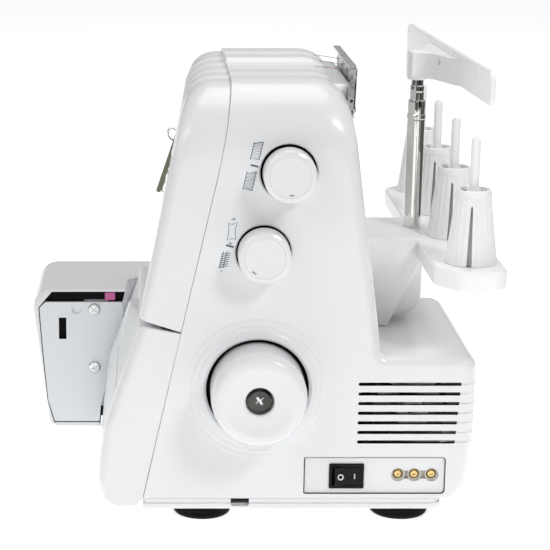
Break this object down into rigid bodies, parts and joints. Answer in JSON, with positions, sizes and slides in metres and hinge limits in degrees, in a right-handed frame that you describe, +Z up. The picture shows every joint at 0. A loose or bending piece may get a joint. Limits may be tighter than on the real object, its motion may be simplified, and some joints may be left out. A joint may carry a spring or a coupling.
{
  "type": "overlock sewing machine",
  "caption": "Tabletop overlock sewing machine with side handwheel, setting dials, front looper cover, bed, and a telescopic thread stand over a spool tray.",
  "frame": {"origin": "middle of the footprint at the level the rubber feet stand on", "axes": "+X to the operator's right, where the handwheel is; +Y to the back; +Z up"},
  "size_m": [0.266, 0.2844, 0.276],
  "materials": {
    "white_shell": "glossy moulded ABS",
    "white_knob": "satin moulded plastic",
    "painted_plate": "pale grey enamel",
    "black_plastic": "fine matt",
    "black_rubber": "matt rubber",
    "steel": "ground",
    "bright_steel": "polished nickel",
    "dark_metal": "blackened",
    "guide_metal": "phosphated",
    "cast_metal": "as cast",
    "aluminium": "turned",
    "bronze": "sintered",
    "brass_pins": "polished",
    "chrome": "mirror plated",
    "lamp_lens": "frosted lens"
  },
  "bodies": {
    "machine": {"main_housing": "white_shell", "head_left_cover": "white_shell", "head_front_cover": "white_shell", "bed_shell": "white_shell", "bed_end_plate": "painted_plate", "bed_end_screws": "bright_steel", "bed_bracket": "cast_metal", "base_tray": "white_shell", "rubber_feet": "black_rubber", "cast_frame": "cast_metal", "side_panel": "white_shell", "switch_body": "black_plastic", "socket_body": "white_shell", "socket_pins": "brass_pins", "shaft_bushes": "bronze", "drive_belt": "black_rubber", "motor": "dark_metal", "motor_bracket": "steel", "tension_rod": "steel", "tension_discs": "bright_steel", "bar_bushes": "bronze", "presser_spring": "steel", "lower_knife": "steel", "needle_plate": "bright_steel", "thread_guide_plate": "bright_steel", "needle_thread_guide": "guide_metal", "sewing_lamp": "lamp_lens", "spool_stand": "white_shell", "spool_cones": "white_knob", "pole_outer_tube": "chrome"},
    "drive_shaft": {"handwheel": "white_shell", "handwheel_screw": "bright_steel", "main_shaft": "steel", "shaft_eccentrics": "steel", "belt_pulley": "aluminium"},
    "motor_rotor": {"motor_shaft": "steel", "motor_pulley": "aluminium"},
    "length_dial": {"stitch_length_dial": "white_shell"},
    "feed_dial": {"differential_feed_dial": "white_shell"},
    "tension_1": {"tension_dial_1": "white_knob"},
    "tension_2": {"tension_dial_2": "white_knob"},
    "tension_3": {"tension_dial_3": "white_knob"},
    "tension_4": {"tension_dial_4": "white_knob"},
    "rocker": {"switch_rocker": "black_plastic"},
    "cover_carriage": {"cover_hinge_rod": "steel"},
    "front_looper_cover": {"looper_cover": "white_shell"},
    "needle_assembly": {"needle_bar": "bright_steel", "needle_clamp": "steel", "needles": "bright_steel"},
    "presser_assembly": {"presser_bar": "bright_steel", "presser_foot": "bright_steel"},
    "lifter_lever": {"presser_lifter": "white_knob"},
    "looper_upper": {"upper_looper": "bright_steel"},
    "looper_lower": {"lower_looper": "bright_steel"},
    "knife_arm": {"upper_knife": "steel"},
    "feed_bar": {"feed_dog": "dark_metal"},
    "pole_middle": {"pole_middle_tube": "chrome"},
    "pole_top": {"pole_top_tube": "chrome"},
    "guide_bar": {"thread_guide_bar": "white_shell"}
  },
  "joints": [
    {"name": "handwheel_turn", "type": "hinge", "parent": "machine", "child": "drive_shaft", "pos_m": [0, -0.0005, 0.086], "axis": [1, 0, 0], "continuous": true},
    {"name": "motor_turn", "type": "hinge", "parent": "machine", "child": "motor_rotor", "pos_m": [0, 0.095, 0.062], "axis": [1, 0, 0], "continuous": true},
    {"name": "stitch_length_set", "type": "hinge", "parent": "machine", "child": "length_dial", "pos_m": [0, 0.0154, 0.216], "axis": [1, 0, 0], "range_deg": [-150, 120]},
    {"name": "differential_feed_set", "type": "hinge", "parent": "machine", "child": "feed_dial", "pos_m": [0, 0.0017, 0.169], "axis": [1, 0, 0], "range_deg": [-110, 90]},
    {"name": "tension_set_1", "type": "hinge", "parent": "machine", "child": "tension_1", "pos_m": [0, -0.0346, 0.201], "axis": [1, 0, 0], "range_deg": [-160, 160]},
    {"name": "tension_set_2", "type": "hinge", "parent": "machine", "child": "tension_2", "pos_m": [0, -0.0346, 0.201], "axis": [1, 0, 0], "range_deg": [-160, 160]},
    {"name": "tension_set_3", "type": "hinge", "parent": "machine", "child": "tension_3", "pos_m": [0, -0.0346, 0.201], "axis": [1, 0, 0], "range_deg": [-160, 160]},
    {"name": "tension_set_4", "type": "hinge", "parent": "machine", "child": "tension_4", "pos_m": [0, -0.0346, 0.201], "axis": [1, 0, 0], "range_deg": [-160, 160]},
    {"name": "power_rocker", "type": "hinge", "parent": "machine", "child": "rocker", "pos_m": [0.103, 0.0534, 0.0315], "axis": [0, 0, 1], "range_deg": [-14, 0]},
    {"name": "cover_unlatch", "type": "slide", "parent": "machine", "child": "cover_carriage", "axis": [1, 0, 0], "range_m": [0, 0.005]},
    {"name": "cover_open", "type": "hinge", "parent": "cover_carriage", "child": "front_looper_cover", "pos_m": [0, -0.074, 0.018], "axis": [1, 0, 0], "range_deg": [0, 70]},
    {"name": "needle_bar_stroke", "type": "slide", "parent": "machine", "child": "needle_assembly", "axis": [0, 0.2588, 0.9659], "range_m": [-0.026, 0]},
    {"name": "lifter_raise", "type": "hinge", "parent": "machine", "child": "lifter_lever", "pos_m": [-0.066, 0.04, 0.152], "axis": [1, 0, 0], "range_deg": [0, 38]},
    {"name": "presser_lift", "type": "slide", "parent": "machine", "child": "presser_assembly", "axis": [0, 0.2588, 0.9659], "range_m": [0, 0.006]},
    {"name": "upper_looper_stroke", "type": "slide", "parent": "machine", "child": "looper_upper", "axis": [-0.3007, 0, 0.9537], "range_m": [0, 0.014]},
    {"name": "lower_looper_swing", "type": "hinge", "parent": "machine", "child": "looper_lower", "pos_m": [-0.022, 0, 0.044], "axis": [0, 1, 0], "range_deg": [-16, 0]},
    {"name": "upper_knife_swing", "type": "hinge", "parent": "machine", "child": "knife_arm", "pos_m": [-0.02, -0.02, 0.13], "axis": [1, 0, 0], "range_deg": [0, 7]},
    {"name": "feed_stroke", "type": "slide", "parent": "machine", "child": "feed_bar", "axis": [0, 1, 0], "range_m": [0, 0.004]},
    {"name": "pole_middle_extend", "type": "slide", "parent": "machine", "child": "pole_middle", "axis": [0, 0, 1], "range_m": [0, 0.07]},
    {"name": "pole_top_extend", "type": "slide", "parent": "pole_middle", "child": "pole_top", "axis": [0, 0, 1], "range_m": [0, 0.08]},
    {"name": "guide_bar_swivel", "type": "hinge", "parent": "pole_top", "child": "guide_bar", "pos_m": [0.005, 0.1024, 0.257], "axis": [0, 0, 1], "range_deg": [-18, 18]}
  ],
  "couplings": [
    {"joint": "motor_turn", "follows": "handwheel_turn", "ratio": 3.75},
    {"joint": "lifter_raise", "follows": "presser_lift", "rad_per_m": 110.43},
    {"joint": "upper_looper_stroke", "follows": "needle_bar_stroke", "ratio": -0.53792},
    {"joint": "lower_looper_swing", "follows": "needle_bar_stroke", "rad_per_m": 10.73},
    {"joint": "upper_knife_swing", "follows": "needle_bar_stroke", "rad_per_m": -4.6943},
    {"joint": "feed_stroke", "follows": "needle_bar_stroke", "ratio": -0.15369}
  ]
}
